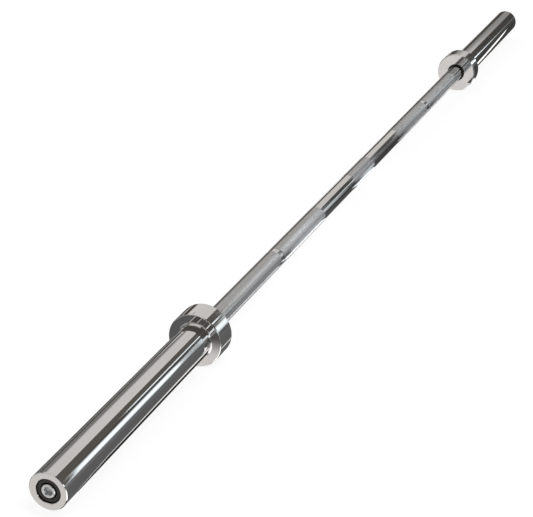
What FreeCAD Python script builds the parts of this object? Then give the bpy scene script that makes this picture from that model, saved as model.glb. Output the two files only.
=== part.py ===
# Olympic barbell: a one-piece shaft with a sleeve that spins on bronze bushings at each end.
# The bar lies along X with its middle at the origin and +Z up. All sizes are in millimetres.
import FreeCAD, Part
import math
import os

# Lengths along the bar
grip_length = 1310.0            # between the inner faces of the two collars
sleeve_length = 445.0           # from a collar's inner face to the end of the bar
collar_width = 38.0
centre_knurl_length = 98.0
smooth_length = 158.0           # polished band on each side of the centre knurl
ring_mark_from_collar = 260.0   # middle of a ring mark to the collar's inner face
ring_mark_width = 12.0
polished_end_length = 10.0      # unknurled shaft beside each collar

# Shaft
grip_diameter = 29.5            # polished bands
knurl_rise = 0.1                # mean height of the knurl above the polished bands
ring_mark_depth = 0.25
shoulder_height = 2.25          # from the grip down to the journal
journal_lead = 1.0              # chamfer on the end of the journal

# Sleeve tube and stop collar
sleeve_diameter = 50.0
sleeve_end_chamfer = 1.0
bore_mouth_chamfer = 0.6
bore_relief = 0.8               # the middle of the bore is this much tighter than the bushing seats
collar_height = 14.25           # from the sleeve's surface up to the collar's rim
collar_edge_round = 1.5
spigot_step = 1.0               # the tube is turned down by this much under the collar
cove_radius = 3.0               # between the sleeve and the collar's plate face

# Bushings, washers and seal
running_clearance = 0.05        # bushing bore over the journal, on the radius
bushing_wall = 3.45
bushing_length = 40.0
flange_rim = 1.7                # how far the flange stands out past the bushing
flange_thickness = 3.0
flange_clearance = 0.3          # round the flange, in the collar's recess
axial_play = 0.1                # between a bushing and its thrust washer
thrust_washer_thickness = 2.0
thrust_washer_bore_clearance = 0.1
thrust_washer_rim_clearance = 0.5
seal_setback = 2.5              # of the seal's face behind the collar's inner face
seal_width = 4.0
seal_lip_clearance = 0.3
seal_groove_depth = 0.6
seal_groove_width = 1.2
shoulder_clearance = 0.5        # between the seal and the inner thrust washer

# Retaining cap and bolt
cap_setback = 1.5               # of the cap's face behind the end of the sleeve
cap_rim_clearance = 1.0
cap_base = 6.0
cap_edge_chamfer = 0.6
cap_hole_clearance = 0.5
head_pocket_clearance = 1.4
head_proud = 1.5                # of the bolt head in front of the cap's face
bolt_diameter = 12.0
bolt_length = 40.0
bolt_tip_chamfer = 1.5
thread_clearance = 0.05
tapped_hole_spare = 5.0         # depth of the tapped hole past the bolt's tip
drill_point_length = 3.5
head_diameter = 18.0
head_height = 12.0
head_edge_chamfer = 0.8
socket_across_flats = 10.0
socket_depth = 6.0
socket_lead = 0.4               # chamfer round the socket's mouth
lock_washer_wall = 2.7
lock_washer_bore_clearance = 0.1
lock_washer_thickness = 2.5
lock_washer_slit = 1.5

# Radii that follow from the sizes above
grip_radius = grip_diameter / 2
knurl_radius = grip_radius + knurl_rise
journal_radius = grip_radius - shoulder_height
bushing_bore_radius = journal_radius + running_clearance
bushing_radius = bushing_bore_radius + bushing_wall
flange_radius = bushing_radius + flange_rim
recess_radius = flange_radius + flange_clearance
relief_radius = bushing_radius - bore_relief
sleeve_radius = sleeve_diameter / 2
spigot_radius = sleeve_radius - spigot_step
collar_radius = sleeve_radius + collar_height
washer_bore_radius = journal_radius + thrust_washer_bore_clearance
cap_radius = bushing_radius - cap_rim_clearance
bolt_radius = bolt_diameter / 2
head_radius = head_diameter / 2
head_pocket_radius = head_radius + head_pocket_clearance

# Places along the right-hand end, from the collar outwards
collar_inner_face = grip_length / 2
collar_plate_face = collar_inner_face + collar_width
cove_end = collar_plate_face + cove_radius
seal_face = collar_inner_face + seal_setback
seal_back = seal_face + seal_width
shoulder = seal_back + shoulder_clearance
flange_face = shoulder + thrust_washer_thickness + axial_play
tube_start = flange_face + flange_thickness
inner_seat_end = tube_start + bushing_length
sleeve_end = collar_inner_face + sleeve_length

# Places along the right-hand end, from the tip inwards
cap_face = sleeve_end - cap_setback
head_top = cap_face + head_proud
head_seat = head_top - head_height
cap_floor = head_seat - lock_washer_thickness
shaft_end = cap_floor - cap_base
outer_bushing_face = shaft_end - thrust_washer_thickness - axial_play
outer_seat_end = outer_bushing_face - bushing_length
bolt_tip = head_seat - bolt_length
tapped_hole_end = bolt_tip - tapped_hole_spare

origin = FreeCAD.Vector(0, 0, 0)
along_bar = FreeCAD.Vector(1, 0, 0)


def point(x, radius):
    """A point of a half outline, which lies in the XZ plane above the bar's axis."""
    return FreeCAD.Vector(x, 0, radius)


def rounded(centre_x, centre_radius, size, way_x, way_radius):
    """The middle of a quarter arc, on the side of its centre that the two ways point to."""
    reach = size * math.sqrt(0.5)
    return (centre_x + way_x * reach, centre_radius + way_radius * reach)


def turned(outline):
    """A solid turned about X from a closed outline of (x, radius) corners.

    A corner written as ((x, radius), middle) is reached along an arc through that middle.
    """
    edges = []
    corners = [step if isinstance(step[0], tuple) else (step, None) for step in outline]
    before = corners[-1][0]
    for corner, middle in corners:
        if middle is None:
            edge = Part.LineSegment(point(*before), point(*corner))
        else:
            edge = Part.Arc(point(*before), point(*middle), point(*corner))
        edges.append(edge.toShape())
        before = corner
    return Part.Face(Part.Wire(edges)).revolve(origin, along_bar, 360)


def ring(start, end, inner_radius, outer_radius):
    """A plain ring between two places along the bar."""
    return turned([
        (start, inner_radius),
        (start, outer_radius),
        (end, outer_radius),
        (end, inner_radius),
    ])


def grip_bands():
    """Start, end and radius of each band of the right half of the grip, from the middle out."""
    centre_end = centre_knurl_length / 2
    smooth_end = centre_end + smooth_length
    ring_middle = collar_inner_face - ring_mark_from_collar
    ring_start = ring_middle - ring_mark_width / 2
    ring_end = ring_middle + ring_mark_width / 2
    knurl_end = collar_inner_face - polished_end_length
    return [
        (0, centre_end, knurl_radius),
        (centre_end, smooth_end, grip_radius),
        (smooth_end, ring_start, knurl_radius),
        (ring_start, ring_end, grip_radius - ring_mark_depth),
        (ring_end, knurl_end, knurl_radius),
        (knurl_end, shoulder, grip_radius),
    ]


def shaft():
    """The whole bar: both halves of the grip, the journals and the tapped ends."""
    half = []
    for start, end, radius in grip_bands():
        half += [(start, radius), (end, radius)]
    half += [
        (shoulder, journal_radius),
        (shaft_end - journal_lead, journal_radius),
        (shaft_end, journal_radius - journal_lead),
    ]
    hole_radius = bolt_radius + thread_clearance
    half += [
        (shaft_end, hole_radius),
        (tapped_hole_end, hole_radius),
        (tapped_hole_end - drill_point_length, 0),
    ]
    other_half = [(-x, radius) for x, radius in reversed(half)]
    return turned(half[1:] + other_half[:-1])


def sleeve_tube():
    """The tube that carries the plates, with a spigot for the collar and two bushing seats."""
    return turned([
        (tube_start, bushing_radius),
        (tube_start, spigot_radius),
        (cove_end, spigot_radius),
        (cove_end, sleeve_radius),
        (sleeve_end - sleeve_end_chamfer, sleeve_radius),
        (sleeve_end, sleeve_radius - sleeve_end_chamfer),
        (sleeve_end, bushing_radius + bore_mouth_chamfer),
        (sleeve_end - bore_mouth_chamfer, bushing_radius),
        (outer_seat_end, bushing_radius),
        (outer_seat_end, relief_radius),
        (inner_seat_end, relief_radius),
        (inner_seat_end, bushing_radius),
    ])


def sleeve_collar():
    """The stop collar on the tube's spigot, with a cove that runs out flush with the tube."""
    rim = collar_radius - collar_edge_round
    inner_round = collar_inner_face + collar_edge_round
    plate_round = collar_plate_face - collar_edge_round
    cove_top = sleeve_radius + cove_radius
    return turned([
        (collar_inner_face, recess_radius),
        (collar_inner_face, rim),
        ((inner_round, collar_radius), rounded(inner_round, rim, collar_edge_round, -1, 1)),
        (plate_round, collar_radius),
        ((collar_plate_face, rim), rounded(plate_round, rim, collar_edge_round, 1, 1)),
        (collar_plate_face, cove_top),
        ((cove_end, sleeve_radius), rounded(cove_end, cove_top, cove_radius, -1, -1)),
        (cove_end, spigot_radius),
        (tube_start, spigot_radius),
        (tube_start, recess_radius),
    ])


def inner_bushing():
    """The flanged bushing at the collar end, its flange against the end of the tube."""
    return turned([
        (flange_face, bushing_bore_radius),
        (flange_face, flange_radius),
        (tube_start, flange_radius),
        (tube_start, bushing_radius),
        (inner_seat_end, bushing_radius),
        (inner_seat_end, bushing_bore_radius),
    ])


def outer_bushing():
    """The plain bushing at the tip, against the step in the tube's bore."""
    return ring(outer_seat_end, outer_bushing_face, bushing_bore_radius, bushing_radius)


def inner_thrust_washer():
    """Sits on the journal against the shaft's shoulder."""
    rim = recess_radius - thrust_washer_rim_clearance
    return ring(shoulder, shoulder + thrust_washer_thickness, washer_bore_radius, rim)


def outer_thrust_washer():
    """Sits on the end of the journal against the retaining cap."""
    rim = bushing_radius - thrust_washer_rim_clearance
    return ring(shaft_end - thrust_washer_thickness, shaft_end, washer_bore_radius, rim)


def dust_seal():
    """Rubber ring in the collar's recess, with a groove round its face behind the lip."""
    lip_radius = grip_radius + seal_lip_clearance
    groove_middle = (lip_radius + recess_radius) / 2
    groove_inner = groove_middle - seal_groove_width / 2
    groove_outer = groove_middle + seal_groove_width / 2
    groove_floor = seal_face + seal_groove_depth
    return turned([
        (seal_face, lip_radius),
        (seal_face, groove_inner),
        (groove_floor, groove_inner),
        (groove_floor, groove_outer),
        (seal_face, groove_outer),
        (seal_face, recess_radius),
        (seal_back, recess_radius),
        (seal_back, lip_radius),
    ])


def retaining_cap():
    """The cup washer bolted to the end of the shaft, with a pocket for the bolt head."""
    hole_radius = bolt_radius + cap_hole_clearance
    return turned([
        (shaft_end, hole_radius),
        (shaft_end, cap_radius),
        (cap_face - cap_edge_chamfer, cap_radius),
        (cap_face, cap_radius - cap_edge_chamfer),
        (cap_face, head_pocket_radius + cap_edge_chamfer),
        (cap_face - cap_edge_chamfer, head_pocket_radius),
        (cap_floor, head_pocket_radius),
        (cap_floor, hole_radius),
    ])


def lock_washer():
    """The split spring washer under the bolt head."""
    bore_radius = bolt_radius + lock_washer_bore_clearance
    rim = bore_radius + lock_washer_wall
    whole = ring(cap_floor, head_seat, bore_radius, rim)
    corner = FreeCAD.Vector(cap_floor, -lock_washer_slit / 2, 0)
    return whole.cut(Part.makeBox(lock_washer_thickness, lock_washer_slit, 2 * rim, corner))


def end_bolt():
    """The socket-head bolt, its thread drawn as a plain cylinder of the outer diameter."""
    blank = turned([
        (bolt_tip, 0),
        (bolt_tip, bolt_radius - bolt_tip_chamfer),
        (bolt_tip + bolt_tip_chamfer, bolt_radius),
        (head_seat, bolt_radius),
        (head_seat, head_radius),
        (head_top - head_edge_chamfer, head_radius),
        (head_top, head_radius - head_edge_chamfer),
        (head_top, 0),
    ])
    corner_radius = socket_across_flats / math.sqrt(3)
    socket_floor = head_top - socket_depth
    corners = []
    for turn in range(6):
        angle = turn * math.pi / 3
        y = corner_radius * math.cos(angle)
        z = corner_radius * math.sin(angle)
        corners.append(FreeCAD.Vector(socket_floor, y, z))
    hexagon = Part.Face(Part.makePolygon(corners + corners[:1]))
    socket = hexagon.extrude(along_bar * socket_depth)
    mouth_radius = corner_radius + socket_lead
    mouth_depth = mouth_radius - socket_across_flats / 2
    mouth = turned([
        (head_top - mouth_depth, 0),
        (head_top - mouth_depth, mouth_radius - mouth_depth),
        (head_top, mouth_radius),
        (head_top, 0),
    ])
    return blank.cut(socket).cut(mouth)


def export(name, piece):
    """Writes one piece to its own file, after checking that it is one sound solid."""
    solids = piece.Solids
    if len(solids) != 1 or not solids[0].isValid():
        raise ValueError(name + " is not one sound solid")
    solids[0].exportStep("parts/" + name + ".step")


end_pieces = [
    sleeve_tube,
    sleeve_collar,
    inner_bushing,
    outer_bushing,
    inner_thrust_washer,
    outer_thrust_washer,
    dust_seal,
    retaining_cap,
    lock_washer,
    end_bolt,
]

os.makedirs("parts", exist_ok=True)
export("shaft", shaft())
for make in end_pieces:
    right_piece = make()
    export("right_" + make.__name__, right_piece)
    export("left_" + make.__name__, right_piece.mirror(origin, along_bar))
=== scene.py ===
# Olympic barbell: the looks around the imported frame, with a pale studio and the photo's camera.
# Metres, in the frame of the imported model: the bar lies along X with its middle at the origin.
import math

import bmesh
import bpy
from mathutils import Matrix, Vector


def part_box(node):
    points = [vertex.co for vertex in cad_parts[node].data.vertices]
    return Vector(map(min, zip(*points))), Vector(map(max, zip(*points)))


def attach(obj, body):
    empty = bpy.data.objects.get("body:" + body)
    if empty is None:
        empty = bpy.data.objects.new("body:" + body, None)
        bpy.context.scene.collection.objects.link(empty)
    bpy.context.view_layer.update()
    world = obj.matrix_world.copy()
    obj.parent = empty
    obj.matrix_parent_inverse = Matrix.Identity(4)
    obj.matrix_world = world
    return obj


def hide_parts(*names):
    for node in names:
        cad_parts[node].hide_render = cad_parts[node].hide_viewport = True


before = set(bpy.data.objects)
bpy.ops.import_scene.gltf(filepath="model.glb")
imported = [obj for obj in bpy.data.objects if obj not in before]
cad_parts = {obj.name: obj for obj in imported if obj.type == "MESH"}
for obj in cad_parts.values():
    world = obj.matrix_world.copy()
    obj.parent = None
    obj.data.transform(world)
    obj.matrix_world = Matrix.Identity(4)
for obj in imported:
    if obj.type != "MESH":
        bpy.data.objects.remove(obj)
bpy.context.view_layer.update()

MM = 0.001

# Places along the right-hand end, read from the frame
shaft_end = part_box("shaft")[1].x
tube_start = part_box("right_sleeve_tube")[0].x
sleeve_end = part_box("right_sleeve_tube")[1].x
collar_inner_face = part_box("right_sleeve_collar")[0].x
cove_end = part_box("right_sleeve_collar")[1].x
seal_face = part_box("right_dust_seal")[0].x
seal_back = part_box("right_dust_seal")[1].x
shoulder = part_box("right_inner_thrust_washer")[0].x
inner_seat_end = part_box("right_inner_bushing")[1].x
outer_seat_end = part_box("right_outer_bushing")[0].x
cap_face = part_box("right_retaining_cap")[1].x
cap_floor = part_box("right_lock_washer")[0].x
head_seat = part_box("right_lock_washer")[1].x
head_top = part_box("right_end_bolt")[1].x
bolt_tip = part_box("right_end_bolt")[0].x

# Sleeve and collar
sleeve_radius = 25.0 * MM
sleeve_end_chamfer = 1.0 * MM
bushing_radius = 16.0 * MM
relief_radius = 15.2 * MM
spigot_radius = 24.0 * MM
collar_radius = 39.25 * MM
collar_edge_round = 1.5 * MM
cove_radius = 3.0 * MM
recess_radius = 18.0 * MM
bore_mouth_chamfer = 0.6 * MM
broken_edge = 0.3 * MM
soft_edge = 2 * broken_edge
fine_edge = 0.5 * broken_edge
finest_edge = 0.3 * broken_edge
plate_face = cove_end - cove_radius

# Shaft and knurl
grip_radius = 14.75 * MM
ring_mark_radius = 14.5 * MM
under_knurl_radius = 14.4 * MM
journal_radius = 12.5 * MM
tapped_hole_radius = 6.05 * MM
tapped_hole_spare = 5.0 * MM
drill_point_length = 3.5 * MM
centre_knurl_end = 49.0 * MM
smooth_end = 207.0 * MM
ring_mark_start = 389.0 * MM
ring_mark_end = 401.0 * MM
grip_knurl_end = 645.0 * MM
knurl_valley_radius = 14.70 * MM
knurl_crest_radius = 14.94 * MM
knurl_pitch_along = 2.6 * MM
knurl_teeth_round = 58
knurl_top_share = 0.84          # of a tooth's width and length that its flat top takes

# Seal, cap and bolt
seal_lip_radius = 15.05 * MM
seal_groove_width = 1.2 * MM
seal_groove_depth = 0.6 * MM
cap_radius = 15.0 * MM
cap_edge_chamfer = 0.6 * MM
cap_hole_radius = 6.5 * MM
head_pocket_radius = 10.4 * MM
head_radius = 9.0 * MM
head_edge_chamfer = 0.8 * MM
bolt_radius = 6.0 * MM
bolt_tip_chamfer = 1.5 * MM
socket_half_flats = 5.0 * MM
socket_depth = 6.0 * MM
socket_lead = 0.4 * MM
socket_drill_depth = 1.2 * MM

# Fineness of the turned meshes
segments_round = 192            # a multiple of six, so that the socket's corners fall on it
round_steps = 5
sharp_angle = math.radians(30)
nearly_zero = 1e-7
end_face_share = 0.9            # of a face's normal that is along the bar, at the least, on an end face

sides = (("right", 1), ("left", -1))


def soften(corners):
    """Outline points from (x, radius, rounding) corners, with an arc at each rounded corner."""
    points = []
    for index, (x, radius, rounding) in enumerate(corners):
        corner = Vector((x, radius))
        if not rounding:
            points.append(corner)
            continue
        before = Vector(corners[index - 1][:2])
        after = Vector(corners[(index + 1) % len(corners)][:2])
        to_before = (before - corner).normalized()
        to_after = (after - corner).normalized()
        half_angle = to_before.angle(to_after) / 2
        centre = corner + (to_before + to_after).normalized() * rounding / math.sin(half_angle)
        reach = rounding / math.tan(half_angle)
        start = (corner + to_before * reach - centre).normalized()
        end = (corner + to_after * reach - centre).normalized()
        for step in range(round_steps + 1):
            points.append(centre + rounding * start.slerp(end, step / round_steps))
    kept = points[:1]
    for point in points[1:]:
        if (point - kept[-1]).length > nearly_zero:
            kept.append(point)
    return [tuple(point) for point in kept]


def new_piece(name, vertices, faces, materials):
    """A mesh object with its faces turned outwards and smooth between its sharp edges."""
    mesh = bpy.data.meshes.new(name)
    mesh.from_pydata(vertices, [], faces)
    shape = bmesh.new()
    shape.from_mesh(mesh)
    bmesh.ops.recalc_face_normals(shape, faces=shape.faces)
    shape.to_mesh(mesh)
    shape.free()
    mesh.shade_smooth()
    mesh.set_sharp_from_angle(angle=sharp_angle)
    for material in materials:
        mesh.materials.append(material)
    piece = bpy.data.objects.new(name, mesh)
    bpy.context.scene.collection.objects.link(piece)
    return piece


def turned(name, outline, side, closed, materials):
    """A piece turned about X. An outline entry is (x, radius), or gives one for an angle."""
    vertices = []
    rings = []
    for entry in outline:
        first = len(vertices)
        if not callable(entry) and entry[1] < nearly_zero:
            vertices.append((side * entry[0], 0, 0))
            rings.append([first] * segments_round)
            continue
        for segment in range(segments_round):
            angle = 2 * math.pi * segment / segments_round
            x, radius = entry(angle) if callable(entry) else entry
            vertices.append((side * x, radius * math.cos(angle), radius * math.sin(angle)))
        rings.append(list(range(first, first + segments_round)))
    pairs = list(zip(rings, rings[1:]))
    if closed:
        pairs.append((rings[-1], rings[0]))
    faces = []
    for lower, upper in pairs:
        for segment in range(segments_round):
            after = (segment + 1) % segments_round
            face = [lower[segment], lower[after], upper[after], upper[segment]]
            faces.append(list(dict.fromkeys(face)))
    piece = new_piece(name, vertices, faces, materials)
    # Long faces keep their own normals beside the small rounded edges, so that they mirror true
    piece.modifiers.new("true_shading", "WEIGHTED_NORMAL").keep_sharp = True
    return piece


def paint(piece, index, chosen):
    """Gives a material slot to the faces whose middle and normal are chosen."""
    for face in piece.data.polygons:
        if chosen(face.center, face.normal):
            face.material_index = index


def belongs(piece, body, slot, *nodes):
    """Says which body a piece rides on and what it stands for; the slot it is given is not used."""
    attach(piece, body)
    if nodes:
        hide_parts(*nodes)


# Materials

relief_depth = 0.05 * MM


def add(tree, kind, sockets=None, **settings):
    """A shader node with its settings, and its sockets either linked or set to a value."""
    made = tree.nodes.new(kind)
    for name, value in settings.items():
        setattr(made, name, value)
    for name, value in (sockets or {}).items():
        if isinstance(value, bpy.types.NodeSocket):
            tree.links.new(value, made.inputs[name])
        else:
            made.inputs[name].default_value = value
    return made


def ramp(tree, factor, stops):
    """Colours or grey levels along a factor, from (position, value) stops."""
    made = add(tree, "ShaderNodeValToRGB", {"Fac": factor})
    elements = made.color_ramp.elements
    while len(elements) < len(stops):
        elements.new(1.0)
    for element, (position, value) in zip(elements, stops):
        element.position = position
        colour = value if isinstance(value, tuple) else (value, value, value)
        element.color = (*colour, 1.0)
    return made.outputs["Color"]


def noise(tree, place, scale, detail=3.0, roughness=0.5):
    """A noise value from 0 to 1."""
    sockets = {"Vector": place, "Scale": scale, "Detail": detail, "Roughness": roughness}
    return add(tree, "ShaderNodeTexNoise", sockets).outputs["Fac"]


def stretched(tree, place, scale):
    """Coordinates scaled by a different amount along each axis."""
    return add(tree, "ShaderNodeMapping", {"Vector": place, "Scale": scale}).outputs["Vector"]


def distance_from_axis(tree, place):
    """How far a point is from the bar's axis."""
    across = stretched(tree, place, (0.0, 1.0, 1.0))
    length = add(tree, "ShaderNodeVectorMath", {0: across}, operation="LENGTH")
    return length.outputs["Value"]


def between(tree, value, low, high, first=0.0, last=1.0, course="LINEAR"):
    """Goes from first to last while a value goes from low to high, and stays there beyond."""
    sockets = {"Value": value, "From Min": low, "From Max": high, "To Min": first, "To Max": last}
    return add(tree, "ShaderNodeMapRange", sockets, interpolation_type=course).outputs["Result"]


def new_material(name, metallic):
    """A material with one shader, and the object's own coordinates to draw with."""
    material = bpy.data.materials.new(name)
    material.use_nodes = True
    tree = material.node_tree
    shader = tree.nodes["Principled BSDF"]
    shader.inputs["Metallic"].default_value = metallic
    place = add(tree, "ShaderNodeTexCoord").outputs["Object"]
    return material, tree, shader, place


def drive(tree, shader, socket, factor, stops):
    """Sets a shader's socket from a ramp over a factor."""
    tree.links.new(ramp(tree, factor, stops), shader.inputs[socket])


def bump(tree, shader, height, strength):
    """Fine relief on a shader from a height."""
    sockets = {"Height": height, "Strength": strength, "Distance": relief_depth}
    made = add(tree, "ShaderNodeBump", sockets)
    tree.links.new(made.outputs["Normal"], shader.inputs["Normal"])


def polished_chrome(name, light, dark):
    """Mirror chrome with hair-fine polishing lines round it and faint smudges."""
    material, tree, shader, place = new_material(name, 1.0)
    clouds = noise(tree, stretched(tree, place, (6.0, 30.0, 30.0)), 1.0, 4.0)
    drive(tree, shader, "Base Color", clouds, [(0.35, dark), (0.65, light)])
    smudges = noise(tree, stretched(tree, place, (14.0, 45.0, 45.0)), 1.0, 5.0, 0.6)
    drive(tree, shader, "Roughness", smudges, [(0.3, 0.03), (0.75, 0.075)])
    lines = noise(tree, stretched(tree, place, (2400.0, 10.0, 10.0)), 1.0, 2.0)
    bump(tree, shader, lines, 0.04)
    return material


def turned_metal(name, light, dark, roughness, line_scale, depth):
    """A satin face with the fine rings that a lathe tool leaves."""
    material, tree, shader, place = new_material(name, 1.0)
    radius = distance_from_axis(tree, place)
    ring_place = add(tree, "ShaderNodeCombineXYZ", {"X": radius}).outputs["Vector"]
    rings = noise(tree, ring_place, line_scale, 3.0)
    drive(tree, shader, "Base Color", rings, [(0.3, dark), (0.7, light)])
    patches = noise(tree, place, 160.0, 4.0)
    spread = [(0.3, roughness * 0.8), (0.7, roughness * 1.2)]
    drive(tree, shader, "Roughness", patches, spread)
    bump(tree, shader, rings, depth)
    return material


def knurled_chrome(name):
    """Satin chrome on the knurl: rubbed smooth on the flat tops and dull in the grooves, and darker down the
    grooves, partly dirt and partly painted shade.
    """
    material, tree, shader, place = new_material(name, 1.0)
    height = between(tree, distance_from_axis(tree, place), knurl_valley_radius, knurl_crest_radius)
    grain = noise(tree, place, 900.0, 3.0)
    # Colour from the height with a fine grain: darker down in the grooves, partly dirt and partly painted
    # shade
    mixed = add(tree, "ShaderNodeMath", {0: grain, 1: 0.35, 2: height}, operation="MULTIPLY_ADD")
    stops = [(0.15, (0.39, 0.39, 0.39)), (0.7, (0.46, 0.46, 0.465)), (1.0, (0.52, 0.52, 0.525))]
    drive(tree, shader, "Base Color", mixed.outputs["Value"], stops)
    drive(tree, shader, "Roughness", height, [(0.5, 0.40), (1.0, 0.13)])
    bump(tree, shader, grain, 0.15)
    return material


def black_oxide(name):
    """Satin black steel, with a thin brown cast and rubbed patches."""
    material, tree, shader, place = new_material(name, 0.5)
    patches = noise(tree, place, 260.0, 5.0, 0.6)
    stops = [(0.3, (0.024, 0.022, 0.020)), (0.8, (0.046, 0.042, 0.038))]
    drive(tree, shader, "Base Color", patches, stops)
    drive(tree, shader, "Roughness", patches, [(0.3, 0.55), (0.8, 0.40)])
    bump(tree, shader, noise(tree, place, 2500.0), 0.12)
    return material


def moulded_rubber(name):
    """Dull black rubber with a fine moulded grain."""
    material, tree, shader, place = new_material(name, 0.0)
    grain = noise(tree, place, 1800.0, 4.0)
    stops = [(0.3, (0.014, 0.014, 0.014)), (0.7, (0.03, 0.03, 0.03))]
    drive(tree, shader, "Base Color", grain, stops)
    drive(tree, shader, "Roughness", grain, [(0.3, 0.75), (0.7, 0.6)])
    bump(tree, shader, grain, 0.2)
    return material


def oiled_bronze(name):
    """Sintered bronze, speckled with oil-dark pores."""
    material, tree, shader, place = new_material(name, 1.0)
    pores = noise(tree, place, 1400.0, 4.0, 0.65)
    stops = [(0.36, (0.16, 0.09, 0.04)), (0.52, (0.50, 0.33, 0.17))]
    drive(tree, shader, "Base Color", pores, stops)
    drive(tree, shader, "Roughness", pores, [(0.3, 0.55), (0.6, 0.35)])
    bump(tree, shader, pores, 0.2)
    return material


sleeve_chrome = polished_chrome("sleeve_chrome", (0.69, 0.69, 0.69), (0.65, 0.65, 0.66))
collar_chrome = polished_chrome("collar_chrome", (0.70, 0.695, 0.69), (0.66, 0.66, 0.665))
shaft_chrome = polished_chrome("shaft_chrome", (0.66, 0.66, 0.66), (0.61, 0.61, 0.62))
knurl_chrome = knurled_chrome("knurl_chrome")
end_face_chrome = turned_metal(
    "end_face_chrome", (0.70, 0.695, 0.69), (0.60, 0.60, 0.60), 0.28, 5000.0, 0.12
)
bolt_zinc = turned_metal("bolt_zinc", (0.68, 0.69, 0.70), (0.52, 0.53, 0.54), 0.30, 4000.0, 0.15)
washer_steel = turned_metal(
    "washer_steel", (0.58, 0.58, 0.59), (0.46, 0.46, 0.47), 0.34, 3000.0, 0.15
)
black_steel = black_oxide("black_steel")
seal_rubber = moulded_rubber("seal_rubber")
bronze = oiled_bronze("bronze")


# Pieces of the two ends

def sleeve_tube_outline():
    """The tube: spigot, polished barrel, chamfered end, and the bore with its bushing seats."""
    return soften([
        (tube_start, bushing_radius, 0),
        (tube_start, spigot_radius, 0),
        (cove_end, spigot_radius, 0),
        (cove_end, sleeve_radius, 0),
        (sleeve_end - sleeve_end_chamfer, sleeve_radius, soft_edge),
        (sleeve_end, sleeve_radius - sleeve_end_chamfer, soft_edge),
        (sleeve_end, bushing_radius + bore_mouth_chamfer, fine_edge),
        (sleeve_end - bore_mouth_chamfer, bushing_radius, 0),
        (outer_seat_end, bushing_radius, 0),
        (outer_seat_end, relief_radius, 0),
        (inner_seat_end, relief_radius, 0),
        (inner_seat_end, bushing_radius, 0),
    ])


def sleeve_collar_outline():
    """The stop collar: rounded rim, flat faces, a cove into the tube and the seal's recess."""
    return soften([
        (collar_inner_face, recess_radius, broken_edge),
        (collar_inner_face, collar_radius, collar_edge_round),
        (plate_face, collar_radius, collar_edge_round),
        (plate_face, sleeve_radius, cove_radius),
        (cove_end, sleeve_radius, 0),
        (cove_end, spigot_radius, 0),
        (tube_start, spigot_radius, 0),
        (tube_start, recess_radius, 0),
    ])


def dust_seal_outline():
    """The seal: a soft-edged ring with a groove round its face behind the lip."""
    groove_middle = (seal_lip_radius + recess_radius) / 2
    groove_inner = groove_middle - seal_groove_width / 2
    groove_outer = groove_middle + seal_groove_width / 2
    groove_floor = seal_face + seal_groove_depth
    return soften([
        (seal_face, seal_lip_radius, fine_edge),
        (seal_face, groove_inner, fine_edge),
        (groove_floor, groove_inner, fine_edge),
        (groove_floor, groove_outer, fine_edge),
        (seal_face, groove_outer, fine_edge),
        (seal_face, recess_radius, fine_edge),
        (seal_back, recess_radius, 0),
        (seal_back, seal_lip_radius, 0),
    ])


def retaining_cap_outline():
    """The cup washer: chamfered rim and pocket mouth, with a hole for the bolt."""
    return soften([
        (shaft_end, cap_hole_radius, 0),
        (shaft_end, cap_radius, 0),
        (cap_face - cap_edge_chamfer, cap_radius, fine_edge),
        (cap_face, cap_radius - cap_edge_chamfer, fine_edge),
        (cap_face, head_pocket_radius + cap_edge_chamfer, fine_edge),
        (cap_face - cap_edge_chamfer, head_pocket_radius, fine_edge),
        (cap_floor, head_pocket_radius, 0),
        (cap_floor, cap_hole_radius, 0),
    ])


def socket_radius(angle):
    """How far the wall of the hexagonal socket is from the axis at an angle."""
    sixth = math.pi / 3
    return socket_half_flats / math.cos(angle % sixth - sixth / 2)


def end_bolt_outline():
    """The bolt: plain shank, head with a broken edge, and a hexagonal socket with a lead."""
    mouth_radius = socket_half_flats / math.cos(math.pi / 6) + socket_lead
    socket_floor = head_top - socket_depth
    blank = soften([
        (bolt_tip, 0, 0),
        (bolt_tip, bolt_radius - bolt_tip_chamfer, 0),
        (bolt_tip + bolt_tip_chamfer, bolt_radius, 0),
        (head_seat, bolt_radius, 0),
        (head_seat, head_radius, broken_edge),
        (head_top - head_edge_chamfer, head_radius, broken_edge),
        (head_top, head_radius - head_edge_chamfer, broken_edge),
        (head_top, mouth_radius, 0),
    ])

    def lead(angle):
        radius = socket_radius(angle)
        return (head_top - (mouth_radius - radius), radius)

    def floor_edge(angle):
        return (socket_floor, socket_radius(angle))

    return blank + [lead, floor_edge, (socket_floor - socket_drill_depth, 0)]


def on_end_face(middle, normal):
    """Whether a face of the tube is on its outer end."""
    return abs(normal.x) > end_face_share and abs(middle.x) > cap_face


end_pieces = [
    ("sleeve_tube", sleeve_tube_outline(), True, "spinning_sleeve", "sleeve_chrome",
     [sleeve_chrome, end_face_chrome]),
    ("sleeve_collar", sleeve_collar_outline(), True, "spinning_sleeve", "collar_chrome",
     [collar_chrome]),
    ("dust_seal", dust_seal_outline(), True, "spinning_sleeve", "seal_rubber", [seal_rubber]),
    ("retaining_cap", retaining_cap_outline(), True, "bar", "black_steel", [black_steel]),
    ("end_bolt", end_bolt_outline(), False, "bar", "bolt_zinc", [bolt_zinc]),
]

for side_name, side in sides:
    for name, outline, closed, body, slot, materials in end_pieces:
        node = side_name + "_" + name
        piece = turned(node + "_finished", outline, side, closed, materials)
        rides_on = body if body == "bar" else side_name + "_" + body
        belongs(piece, rides_on, slot, node)
        if name == "sleeve_tube":
            paint(piece, 1, on_end_face)
    for name, material in (
        ("inner_bushing", bronze),
        ("outer_bushing", bronze),
        ("inner_thrust_washer", washer_steel),
        ("outer_thrust_washer", washer_steel),
        ("lock_washer", washer_steel),
    ):
        for material_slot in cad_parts[side_name + "_" + name].material_slots:
            material_slot.material = material


# Shaft and knurl

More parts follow.
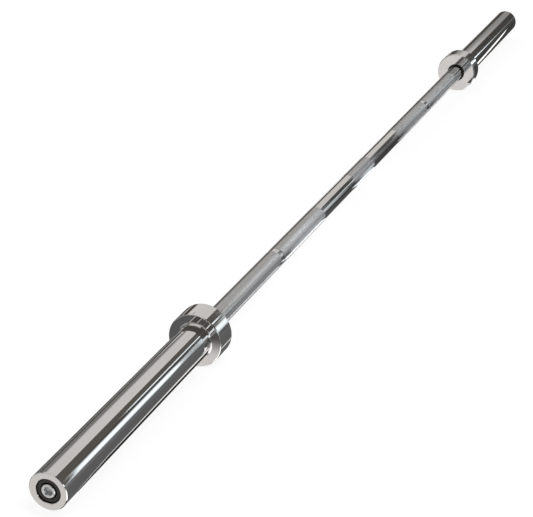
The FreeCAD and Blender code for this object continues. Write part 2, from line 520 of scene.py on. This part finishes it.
def shaft_outline():
    """The bar from the point of one tapped hole to the other, sunk under the knurled bands."""
    half = [
        (centre_knurl_end, under_knurl_radius, 0),
        (centre_knurl_end, grip_radius, finest_edge),
        (smooth_end, grip_radius, finest_edge),
        (smooth_end, under_knurl_radius, 0),
        (ring_mark_start, under_knurl_radius, 0),
        (ring_mark_start, ring_mark_radius, 0),
        (ring_mark_end, ring_mark_radius, 0),
        (ring_mark_end, under_knurl_radius, 0),
        (grip_knurl_end, under_knurl_radius, 0),
        (grip_knurl_end, grip_radius, finest_edge),
        (shoulder, grip_radius, broken_edge),
        (shoulder, journal_radius, 0),
        (shaft_end, journal_radius, broken_edge),
        (shaft_end, tapped_hole_radius, 0),
        (bolt_tip - tapped_hole_spare, tapped_hole_radius, 0),
        (bolt_tip - tapped_hole_spare - drill_point_length, 0, 0),
    ]
    other_half = [(-x, radius, rounding) for x, radius, rounding in reversed(half)]
    return soften(other_half + half)


def knurl(name, start, end):
    """A band of diamond knurl: rows of flat-topped teeth between two sets of crossing grooves."""
    row_count = 2 * round((end - start) / knurl_pitch_along)
    row_step = (end - start) / row_count
    tooth_angle = 2 * math.pi / knurl_teeth_round
    vertices = []
    faces = []

    def put(x, radius, turn):
        angle = turn * tooth_angle
        vertices.append((x, radius * math.cos(angle), radius * math.sin(angle)))
        return len(vertices) - 1

    def tooth_faces(base, tops):
        """The flat top and the walls down to the grooves."""
        count = len(base)
        walls = [
            (base[index], base[(index + 1) % count], tops[(index + 1) % count], tops[index])
            for index in range(count)
        ]
        return [tuple(tops)] + walls

    crossings = []
    for row in range(row_count + 1):
        stagger = (row % 2) / 2
        x = start + row * row_step
        crossings.append([
            put(x, knurl_valley_radius, tooth + stagger) for tooth in range(knurl_teeth_round)
        ])
    half_width = knurl_top_share / 2
    half_length = knurl_top_share * row_step
    end_slope = (1 - knurl_top_share) * row_step
    for row in range(row_count + 1):
        x = start + row * row_step
        top_x = min(max(x, start + end_slope), end - end_slope)
        for tooth in range(knurl_teeth_round):
            after = (tooth + 1) % knurl_teeth_round
            beside = after if row % 2 else tooth
            middle = tooth + (row % 2) / 2 + 0.5
            base = [crossings[row][tooth], crossings[row][after]]
            top_places = [(top_x, middle - half_width), (top_x, middle + half_width)]
            if row > 0:
                base.insert(1, crossings[row - 1][beside])
                top_places.insert(1, (x - half_length, middle))
            if row < row_count:
                base.append(crossings[row + 1][beside])
                top_places.append((x + half_length, middle))
            tops = [put(place, knurl_crest_radius, turn) for place, turn in top_places]
            faces += tooth_faces(base, tops)
    return new_piece(name, vertices, faces, [knurl_chrome])


shaft = turned("shaft_finished", shaft_outline(), 1, False, [shaft_chrome])
belongs(shaft, "bar", "shaft_chrome", "shaft")

knurl_bands = [("centre_knurl", -centre_knurl_end, centre_knurl_end)]
for side_name, side in sides:
    for name, start, end in (
        ("inner_knurl", smooth_end, ring_mark_start),
        ("outer_knurl", ring_mark_end, grip_knurl_end),
    ):
        low, high = sorted((side * start, side * end))
        knurl_bands.append((side_name + "_" + name, low, high))
for name, start, end in knurl_bands:
    belongs(knurl(name, start, end), "bar", "shaft_chrome")


# Camera, fitted to the bar's outline in the photo

camera_place = (-2.37694, -0.77610, 0.94080)
camera_heading = math.radians(21.7153)
camera_tilt = math.radians(-23.8364)
camera_lens = 102.674
camera_sensor = 36.0
camera_reach = 50.0

camera = bpy.data.cameras.new("photo_camera")
camera.lens = camera_lens
camera.sensor_width = camera_sensor
camera.clip_end = camera_reach
camera_holder = bpy.data.objects.new("photo_camera", camera)
camera_holder.location = camera_place
camera_holder.rotation_euler = (math.pi / 2 + camera_tilt, 0.0, camera_heading - math.pi / 2)
bpy.context.scene.collection.objects.link(camera_holder)
bpy.context.scene.camera = camera_holder
bpy.context.scene.view_settings.view_transform = "Standard"


# Studio

floor_level = -collar_radius
floor_reach = 8.0
floor_paint = (0.9, 0.9, 0.9, 1.0)
floor_lift = 0.25
floor_shadow_share = 0.2        # of the floor's lit look, with the shadow, in what the camera sees
shadow_reach = 1.6              # the share fades to nothing between here and twice as far
plain_light = 0.55
white = (1.0, 1.0, 1.0, 1.0)
pale = (0.88, 0.85, 0.83)


def light_kinds(tree, *names):
    """Whether a ray is one of these kinds, such as one straight from the camera."""
    path = add(tree, "ShaderNodeLightPath")
    total = path.outputs[names[0]]
    for name in names[1:]:
        total = add(tree, "ShaderNodeMath", {0: total, 1: path.outputs[name]}).outputs["Value"]
    return total


def mixed_shader(tree, share, first, second):
    """The first shader, or the second where the share is 1."""
    return add(tree, "ShaderNodeMixShader", {0: share, 1: first, 2: second}).outputs["Shader"]


def card(name, corners, material):
    """A flat sheet of the studio from its corners."""
    mesh = bpy.data.meshes.new(name)
    mesh.from_pydata(corners, [], [tuple(range(len(corners)))])
    mesh.materials.append(material)
    made = bpy.data.objects.new(name, mesh)
    bpy.context.scene.collection.objects.link(made)
    return made


def empty_material(name):
    """A material with no nodes yet."""
    material = bpy.data.materials.new(name)
    material.use_nodes = True
    material.node_tree.nodes.clear()
    return material, material.node_tree


def floor_material():
    """White to the camera with a soft share of the shadow, and pale in the chrome."""
    material, tree = empty_material("studio_floor")
    lit = add(tree, "ShaderNodeBsdfDiffuse", {"Color": floor_paint}).outputs["BSDF"]
    plain_white = add(tree, "ShaderNodeEmission", {"Color": white}).outputs["Emission"]
    mirrored = add(tree, "ShaderNodeEmission", {"Color": (*pale, 1.0)}).outputs["Emission"]
    lift = add(tree, "ShaderNodeEmission", {"Strength": floor_lift}).outputs["Emission"]
    lifted = add(tree, "ShaderNodeAddShader", {0: lit, 1: lift}).outputs["Shader"]
    place = add(tree, "ShaderNodeTexCoord").outputs["Object"]
    away = add(tree, "ShaderNodeVectorMath", {0: place}, operation="LENGTH").outputs["Value"]
    share = between(tree, away, shadow_reach, 2 * shadow_reach, floor_shadow_share, 0.0, "SMOOTHSTEP")
    seen = mixed_shader(tree, share, plain_white, lifted)
    surface = mixed_shader(tree, light_kinds(tree, "Is Camera Ray"), lit, seen)
    in_chrome = light_kinds(tree, "Is Glossy Ray", "Is Transmission Ray")
    surface = mixed_shader(tree, in_chrome, surface, mirrored)
    add(tree, "ShaderNodeOutputMaterial", {"Surface": surface})
    return material


def glow(name, colour, fades, one_sided):
    """An even glow, clear from behind if one-sided.

    Each fade is (axis, start, end, level at start, level at end).
    """
    material, tree = empty_material(name)
    place = add(tree, "ShaderNodeTexCoord").outputs["Object"]
    axes = add(tree, "ShaderNodeSeparateXYZ", {0: place})
    shader = add(tree, "ShaderNodeEmission", {"Color": (*colour, 1.0), "Strength": 1.0})
    strength = None
    for axis, start, end, first, last in fades:
        fade = between(tree, axes.outputs[axis], start, end, first, last, "SMOOTHSTEP")
        if strength is None:
            strength = fade
        else:
            both = add(tree, "ShaderNodeMath", {0: strength, 1: fade}, operation="MULTIPLY")
            strength = both.outputs["Value"]
    if strength is not None:
        tree.links.new(strength, shader.inputs["Strength"])
    surface = shader.outputs["Emission"]
    if one_sided:
        from_behind = add(tree, "ShaderNodeNewGeometry").outputs["Backfacing"]
        clear = add(tree, "ShaderNodeBsdfTransparent").outputs["BSDF"]
        surface = mixed_shader(tree, from_behind, surface, clear)
    add(tree, "ShaderNodeOutputMaterial", {"Surface": surface})
    return material


def reflected(name, corners, colour, fades=(), one_sided=False):
    """A screen or light panel that shows only in the metal."""
    made = card(name, corners, glow(name, colour, fades, one_sided))
    made.visible_camera = False
    made.visible_diffuse = False
    made.visible_shadow = False
    made.visible_transmission = False


def rectangle(low, high, next_low, next_high):
    """The corners of a rectangle in two directions, as pairs."""
    return [(low, next_low), (high, next_low), (high, next_high), (low, next_high)]


def level_shape(z, points):
    """Corners of a level shape from its (x, y) points."""
    return [(x, y, z) for x, y in points]


def front_shape(y, points):
    """Corners of an upright shape along the bar from its (x, z) points."""
    return [(x, y, z) for x, z in points]


def cross_shape(x, points):
    """Corners of an upright shape across the bar from its (y, z) points."""
    return [(x, y, z) for y, z in points]


floor_outline = rectangle(-floor_reach, floor_reach, -floor_reach, floor_reach)
card("studio_floor", level_shape(floor_level, floor_outline), floor_material())

# Dark screens all round, so that the chrome has something to show between the lights
room_x = 7.9
room_y = 6.5
room_bottom = -1.0
room_top = 5.0
dark_room = (0.125, 0.115, 0.102)
darker_room = (0.075, 0.070, 0.063)
long_wall = rectangle(-room_x, room_x, room_bottom, room_top)
short_wall = rectangle(-room_y, room_y, room_bottom, room_top)
for name, corners, colour in (
    ("room_front", front_shape(-room_y, long_wall), dark_room),
    ("room_back", front_shape(room_y, long_wall), dark_room),
    ("room_left", cross_shape(-room_x, short_wall), dark_room),
    ("room_right", cross_shape(room_x, short_wall), darker_room),
    ("room_ceiling", level_shape(room_top, rectangle(-room_x, room_x, -room_y, room_y)), dark_room),
):
    reflected(name, corners, colour)

# Soft panels overhead, with dark gaps between those near the left-hand end
sheet_gap = 1.0 * MM            # between sheets that lie one over the other
panel_height = 1.5
under_panel = panel_height - sheet_gap
panel_front = -0.37
panel_right = 7.8
panel_colour = (0.80, 0.775, 0.745)
for name, height, points, colour, fades in (
    ("overhead_panel", panel_height, rectangle(-2.45, panel_right, panel_front, 4.5),
     panel_colour, [("Y", 1.1, 1.9, 1.0, 0.32), ("X", 4.1, 5.4, 1.0, 0.42)]),
    ("deep_panel", under_panel, ((1.87, 1.1), (panel_right, 1.1), (panel_right, 5.0), (5.77, 5.0)),
     panel_colour, [("X", 4.6, 6.3, 1.0, 0.35)]),
    ("left_front_panel", panel_height, rectangle(-4.6, -3.45, -1.4, -0.42), (1.7, 1.7, 1.68), ()),
    ("left_overhead_panel", panel_height, rectangle(-6.5, -3.2, panel_front, 1.1), panel_colour, ()),
    ("left_near_panel", under_panel, rectangle(-3.3, -2.98, panel_front, 0.35), (1.25, 1.22, 1.18), ()),
):
    reflected(name, level_shape(height, points), colour, fades)

# Window-like panels in front of the bar, some of them also behind it, turned half round
window_distance = 2.0
left_window_distance = 2.6
low_screen_distance = 2.02
window_light = (1.36, 1.46, 1.50)
low_screen_colour = (0.165, 0.165, 0.17)
dim_edges = [("Z", 0.1, 0.45, 0.3, 1.0), ("Z", 0.8, 1.25, 1.0, 0.3)]
for name, points, strength, fades, also_behind in (
    ("long_window", ((1.0, 0.1), (1.77, 0.1), (2.25, 1.25), (1.42, 1.25)), 1.1, dim_edges, True),
    ("dim_window", ((1.80, 0.25), (1.96, 0.25), (2.35, 1.1), (2.22, 1.1)), 0.4, (), True),
    ("rim_window", ((1.96, 0.12), (2.32, 0.12), (2.76, 1.2), (2.40, 1.2)), 1.0, dim_edges, True),
    ("narrow_window", ((2.41, 1.93), (3.3, 1.93), (3.8, 2.38), (2.80, 2.38)), 0.9, (), True),
    ("grip_window", ((2.76, 0.1), (3.7, 0.1), (3.7, 0.8), (2.76, 1.6)), 0.45, (), False),
    ("far_window", rectangle(3.1, 5.6, 0.85, 1.3), 0.75, [("X", 4.25, 4.6, 1.0, 0.2)], False),
    ("far_knurl_window", ((5.2, 0.7), (6.3, 0.7), (6.4, 1.35), (5.3, 1.35)), 0.9, (), False),
    ("low_window", rectangle(5.7, 7.4, 0.45, 0.68), 1.6, [("X", 6.0, 6.8, 1.0, 0.10)], True),
):
    colour = tuple(strength * channel for channel in window_light)
    reflected(name, front_shape(-window_distance, points), colour, fades)
    if also_behind:
        turned_points = [(-x, z) for x, z in points]
        turned_fades = [(axis, -start, -end, first, last) for axis, start, end, first, last in fades]
        reflected(name + "_behind", front_shape(window_distance, turned_points), colour, turned_fades)
reflected("left_window", front_shape(-left_window_distance, rectangle(-6.8, -0.6, 0.35, 0.95)),
          window_light)
reflected("low_screen", front_shape(-low_screen_distance, rectangle(-1.0, 6.0, floor_level, 0.27)),
          low_screen_colour)

# Dark cloths on the floor on both sides of the bar
cloth_level = floor_level + sheet_gap
cloth_reach = 6.4
cloth_white = (1.0, 1.0, 1.0)
for name, points, fades in (
    ("front_cloth", rectangle(-2.5, panel_right, -cloth_reach, -0.012),
     [("X", -0.5, 0.4, 0.17, 0.065), ("Y", -0.8, -0.05, 1.6, 0.85)]),
    ("back_cloth", rectangle(-1.08, 0.15, 0.03, cloth_reach), [("X", -0.9, 0.1, 0.13, 0.2)]),
    ("far_back_cloth", rectangle(0.95, panel_right, 0.03, cloth_reach), [("X", 1.0, 2.0, 0.10, 0.10)]),
):
    reflected(name, level_shape(cloth_level, points), cloth_white, fades)

# Patches on the floor that the chrome mirrors as thin pale and dark lines, from their (x, y) points. The dark
# one under the sleeve is painted shadow.
line_level = cloth_level + sheet_gap
glint_level = line_level + sheet_gap
collar_card_x = -0.700
screen_x = collar_card_x - 0.5 * MM
# Painted shadow: a nearly black patch under the sleeve, which the chrome mirrors as the dark line along its
# lower edge
painted_shadow_under_sleeve = (0.03, 0.03, 0.028)
bright_line = (1.15, 1.12, 1.08)
for name, height, points, colour in (
    ("painted_shadow_under_sleeve", line_level,
     ((-1.04, -0.0210), (-0.96, -0.0325), (screen_x, -0.0305), (screen_x, 0.0), (-1.04, 0.0)), painted_shadow_under_sleeve),
    ("near_line", line_level,
     ((-1.04, -0.0235), (-0.96, -0.0375), (-0.70, -0.0445), (-0.70, -0.0330), (-0.96, -0.0340),
      (-1.04, -0.0220)), bright_line),
    ("rim_line", line_level, rectangle(-0.66, -0.57, -0.0540, -0.0500), bright_line),
    ("far_line", line_level,
     ((0.79, -0.034), (0.84, -0.0575), (0.978, -0.069), (1.175, -0.101), (1.36, -0.136),
      (1.178, -0.080), (1.076, -0.0590), (0.91, -0.040)), (1.7, 1.66, 1.6)),
    ("near_knurl_line", line_level, rectangle(-0.327, -0.142, -0.0440, -0.0190), (2.6, 2.7, 2.75)),
    ("outer_knurl_line", line_level, rectangle(-0.57, -0.35, -0.0420, -0.0210), (1.5, 1.56, 1.6)),
    ("centre_knurl_line", line_level, rectangle(0.022, 0.122, -0.0450, -0.0120), (2.2, 2.35, 2.45)),
    ("far_knurl_line", line_level, rectangle(0.283, 0.735, -0.0380, -0.0210), (1.2, 1.25, 1.28)),
    ("collar_patch", line_level, rectangle(collar_card_x, -0.69, -0.022, 0.03), pale),
    ("far_collar_patch", line_level, rectangle(0.60, 0.656, -0.0205, -0.012), pale),
    ("left_end_patch", line_level, rectangle(-1.7, -1.118, -0.4, 0.004), pale),
    ("right_end_patch", line_level, rectangle(1.105, 1.7, 0.004, 0.4), pale),
    ("end_glint", glint_level,
     ((-1.103, -0.048), (-1.120, -0.038), (-1.230, -0.165), (-1.195, -0.195)), (2.2, 2.25, 2.3)),
):
    reflected(name, level_shape(height, points), colour)

# Lights overhead, in front and on the floor, each shaped so that one knurled band mirrors all of it.
# A light's lines run along the bar at a (y, z), and stop short of the band's ends by a margin.
camera_from_axis = math.hypot(camera_place[1], camera_place[2])
high_level = under_panel - sheet_gap
high_lines = [(y, high_level) for y in (-0.06, -0.20, -0.38, -0.60, -0.85, -1.10, -1.40, -1.90)]
low_lines = [(-1.95, z) for z in (1.50, 1.20, 0.90, 0.60, 0.30, 0.02)]
floor_lines = [(y, line_level) for y in (-1.90, -0.90, -0.40, -0.20, -0.10, -0.05)]
high_margin = 22.0 * MM
low_margin = 18.0 * MM
floor_start_margin = 10.0 * MM
far_ring_margin = 8.0 * MM      # added beside the far ring mark, which stays dark
far_collar_margin = 40.0 * MM   # added beside the far collar, where the knurl is darker
high_fade = [("Y", -0.75, -0.25, 1.2, 0.75)]
low_fade = [("Z", 0.30, 1.20, 0.6, 1.0)]


def mirrored_x(x, y, z):
    """Where the bar at x throws the photo camera's ray, along a line at (y, z)."""
    return x + (x - camera_place[0]) * math.hypot(y, z) / camera_from_axis


def band_light(name, start, end, lines, colour, fades=()):
    """A light that the bar mirrors from one place along it to another."""
    edges = []
    for x in (start, end):
        edges.append([(mirrored_x(x, y, z), y, z) for y, z in lines])
    reflected(name, edges[0] + edges[1][::-1], colour, fades)


for name, start, end, high_colour, low_colour, floor_colour in (
    ("outer_knurl", -grip_knurl_end, -ring_mark_end,
     (1.20, 1.19, 1.18), (0.90, 0.90, 0.90), (0.40, 0.41, 0.42)),
    ("inner_knurl", -ring_mark_start, -smooth_end,
     (1.85, 1.90, 1.93), (1.25, 1.28, 1.30), (0.75, 0.78, 0.80)),
    ("centre_knurl", -centre_knurl_end, centre_knurl_end,
     (1.60, 1.66, 1.70), (1.65, 1.72, 1.76), (1.10, 1.18, 1.22)),
    ("far_inner_knurl", smooth_end, ring_mark_start - far_ring_margin,
     (1.30, 1.34, 1.36), (1.10, 1.13, 1.15), (0.45, 0.47, 0.48)),
    ("far_outer_knurl", ring_mark_end + far_ring_margin, grip_knurl_end - far_collar_margin,
     (1.30, 1.34, 1.36), (1.15, 1.18, 1.20), (0.45, 0.47, 0.48)),
):
    band_light(name + "_light", start + high_margin, end - high_margin, high_lines, high_colour, high_fade)
    band_light(name + "_low_light", start + low_margin, end - low_margin, low_lines, low_colour, low_fade)
    band_light(name + "_floor_light", start + floor_start_margin, end - low_margin, floor_lines, floor_colour)

# Small one-sided cards beside the left collar, from their (y, z) points. The first lights the lower part
# of its plate face. The screens are seen from the other side, where they carry the lines on the floor, the
# dark one a painted shadow, up to the sleeve. The glint lies aslant, and shows along the edge of the plate
# face.
for name, x, points, colour, fades in (
    ("collar_card", collar_card_x, rectangle(-0.0365, 0.0245, floor_level, 0.009), pale,
     [("Z", -0.024, 0.007, 0.95, 0.12)]),
    ("under_sleeve_screen", screen_x,
     ((-0.0331, floor_level), (-0.0245, -0.0052), (0.03, -0.0052), (0.03, floor_level)), painted_shadow_under_sleeve, ()),
    ("near_line_screen", screen_x,
     ((-0.0440, floor_level), (-0.0249, -0.0026), (-0.0245, -0.0052), (-0.0331, floor_level)),
     bright_line, ()),
):
    reflected(name, cross_shape(x, points), colour, fades, one_sided=True)
glint_low_x = -0.690
glint_high_x = -0.712
glint_top = floor_level + 25.7 * MM
collar_glint = [
    (glint_low_x, -0.022, floor_level),
    (glint_high_x, -0.040, glint_top),
    (glint_high_x, -0.085, glint_top),
    (glint_low_x, -0.050, floor_level),
]
reflected("collar_glint", collar_glint, (2.2, 2.2, 2.15), one_sided=True)


def studio_world():
    """White behind everything, and plain even light on what isn't metal."""
    world = bpy.data.worlds.new("studio")
    bpy.context.scene.world = world
    world.use_nodes = True
    tree = world.node_tree
    tree.nodes.clear()
    behind = add(tree, "ShaderNodeBackground", {"Color": white, "Strength": 1.0})
    around = add(tree, "ShaderNodeBackground", {"Color": white, "Strength": plain_light})
    seen = light_kinds(tree, "Is Camera Ray", "Is Glossy Ray", "Is Transmission Ray")
    whole = mixed_shader(tree, seen, around.outputs["Background"], behind.outputs["Background"])
    add(tree, "ShaderNodeOutputWorld", {"Surface": whole})


studio_world()

lamp_size = 2.5
for name, place, energy in (
    ("key_lamp", (-1.5, -2.0, 3.0), 75.0),
    ("fill_lamp", (1.5, 2.0, 3.0), 25.0),
):
    lamp = bpy.data.lights.new(name, "AREA")
    lamp.size = lamp_size
    lamp.energy = energy
    holder = bpy.data.objects.new(name, lamp)
    holder.location = place
    holder.rotation_euler = (-Vector(place)).to_track_quat("-Z", "Y").to_euler()
    holder.visible_glossy = False
    bpy.context.scene.collection.objects.link(holder)
